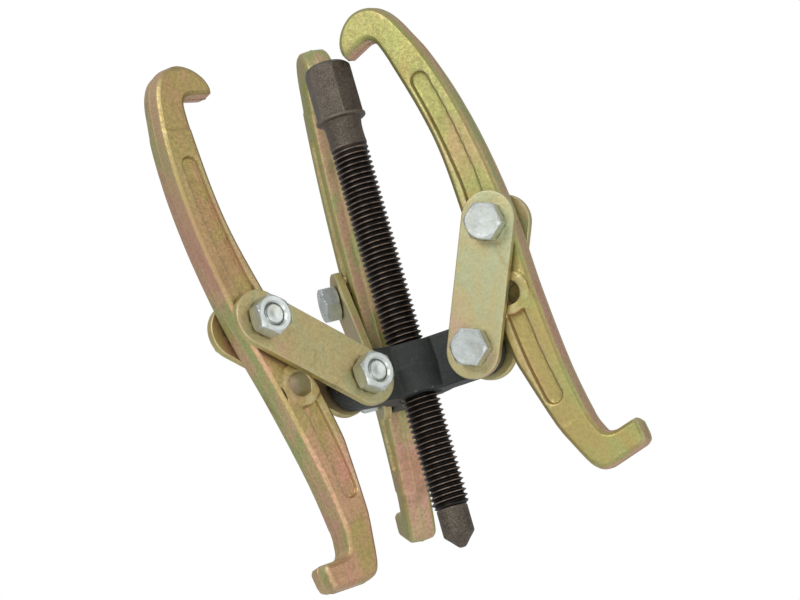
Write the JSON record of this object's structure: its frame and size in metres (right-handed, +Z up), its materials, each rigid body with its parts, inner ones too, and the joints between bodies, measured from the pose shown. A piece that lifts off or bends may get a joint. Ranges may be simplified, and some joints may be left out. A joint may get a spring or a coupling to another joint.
{
  "type": "gear puller",
  "caption": "Reversible-jaw gear puller: a forcing screw in a lugged yoke, with link plates carrying double-ended hook-and-foot jaws on bolted pivots.",
  "frame": {"origin": "the flat at the very end of the forcing screw's cone point", "axes": "+Z up the screw to its hexagon; the arms' bearings from +X are 210, 330 and 93 degrees"},
  "size_m": [0.1454, 0.1344, 0.2061],
  "materials": {
    "jaw_zinc": "yellow zinc-chromate plating, slightly iridescent",
    "link_zinc": "yellow zinc-chromate plating, smoother and more iridescent than the jaws",
    "white_zinc": "bright zinc plating, satin",
    "yoke_black": "black oxide over a fine cast texture, satin",
    "screw_brown": "dark brown-black phosphate, oily satin"
  },
  "bodies": {
    "yoke": {"yoke": "yoke_black"},
    "point": {"screw_point": "screw_brown"},
    "screw": {"screw": "screw_brown"},
    "link_a": {"link_a_nut_side": "link_zinc", "link_a_head_side": "link_zinc", "bolt_a_yoke": "white_zinc", "nut_a_yoke": "white_zinc", "bolt_a_jaw": "white_zinc", "nut_a_jaw": "white_zinc"},
    "jaw_a": {"jaw_a": "jaw_zinc"},
    "link_b": {"link_b_nut_side": "link_zinc", "link_b_head_side": "link_zinc", "bolt_b_yoke": "white_zinc", "nut_b_yoke": "white_zinc", "bolt_b_jaw": "white_zinc", "nut_b_jaw": "white_zinc"},
    "jaw_b": {"jaw_b": "jaw_zinc"},
    "link_c": {"link_c_nut_side": "link_zinc", "link_c_head_side": "link_zinc", "bolt_c_yoke": "white_zinc", "nut_c_yoke": "white_zinc", "bolt_c_jaw": "white_zinc", "nut_c_jaw": "white_zinc"},
    "jaw_c": {"jaw_c": "jaw_zinc"}
  },
  "joints": [
    {"name": "link_a_swing", "type": "hinge", "parent": "yoke", "child": "link_a", "pos_m": [-0.0246, -0.0142, 0.0664], "axis": [0.5, -0.866, 0], "range_deg": [-10, 15]},
    {"name": "jaw_a_swing", "type": "hinge", "parent": "link_a", "child": "jaw_a", "pos_m": [-0.05671, -0.03274, 0.09189], "axis": [0.5, -0.866, 0], "range_deg": [-15, 11]},
    {"name": "link_b_swing", "type": "hinge", "parent": "yoke", "child": "link_b", "pos_m": [0.0246, -0.0142, 0.0664], "axis": [0.5, 0.866, 0], "range_deg": [0, 35]},
    {"name": "jaw_b_swing", "type": "hinge", "parent": "link_b", "child": "jaw_b", "pos_m": [0.04032, -0.02328, 0.10757], "axis": [0.5, 0.866, 0], "range_deg": [0, 3.2]},
    {"name": "link_c_swing", "type": "hinge", "parent": "yoke", "child": "link_c", "pos_m": [-0.00149, 0.02836, 0.0664], "axis": [-0.9986, -0.0523, 0], "range_deg": [0, 35]},
    {"name": "jaw_c_swing", "type": "hinge", "parent": "link_c", "child": "jaw_c", "pos_m": [-0.00257, 0.04911, 0.10632], "axis": [-0.9986, -0.0523, 0], "range_deg": [0, 7]},
    {"name": "screw_feed", "type": "slide", "parent": "yoke", "child": "point", "axis": [0, 0, 1], "range_m": [-0.0833, 0]},
    {"name": "screw_turn", "type": "hinge", "parent": "point", "child": "screw", "pos_m": [0, 0, 0], "axis": [0, 0, 1], "range_deg": [-14995, 0]}
  ],
  "couplings": [
    {"joint": "screw_turn", "follows": "screw_feed", "rad_per_m": 3141.6}
  ]
}
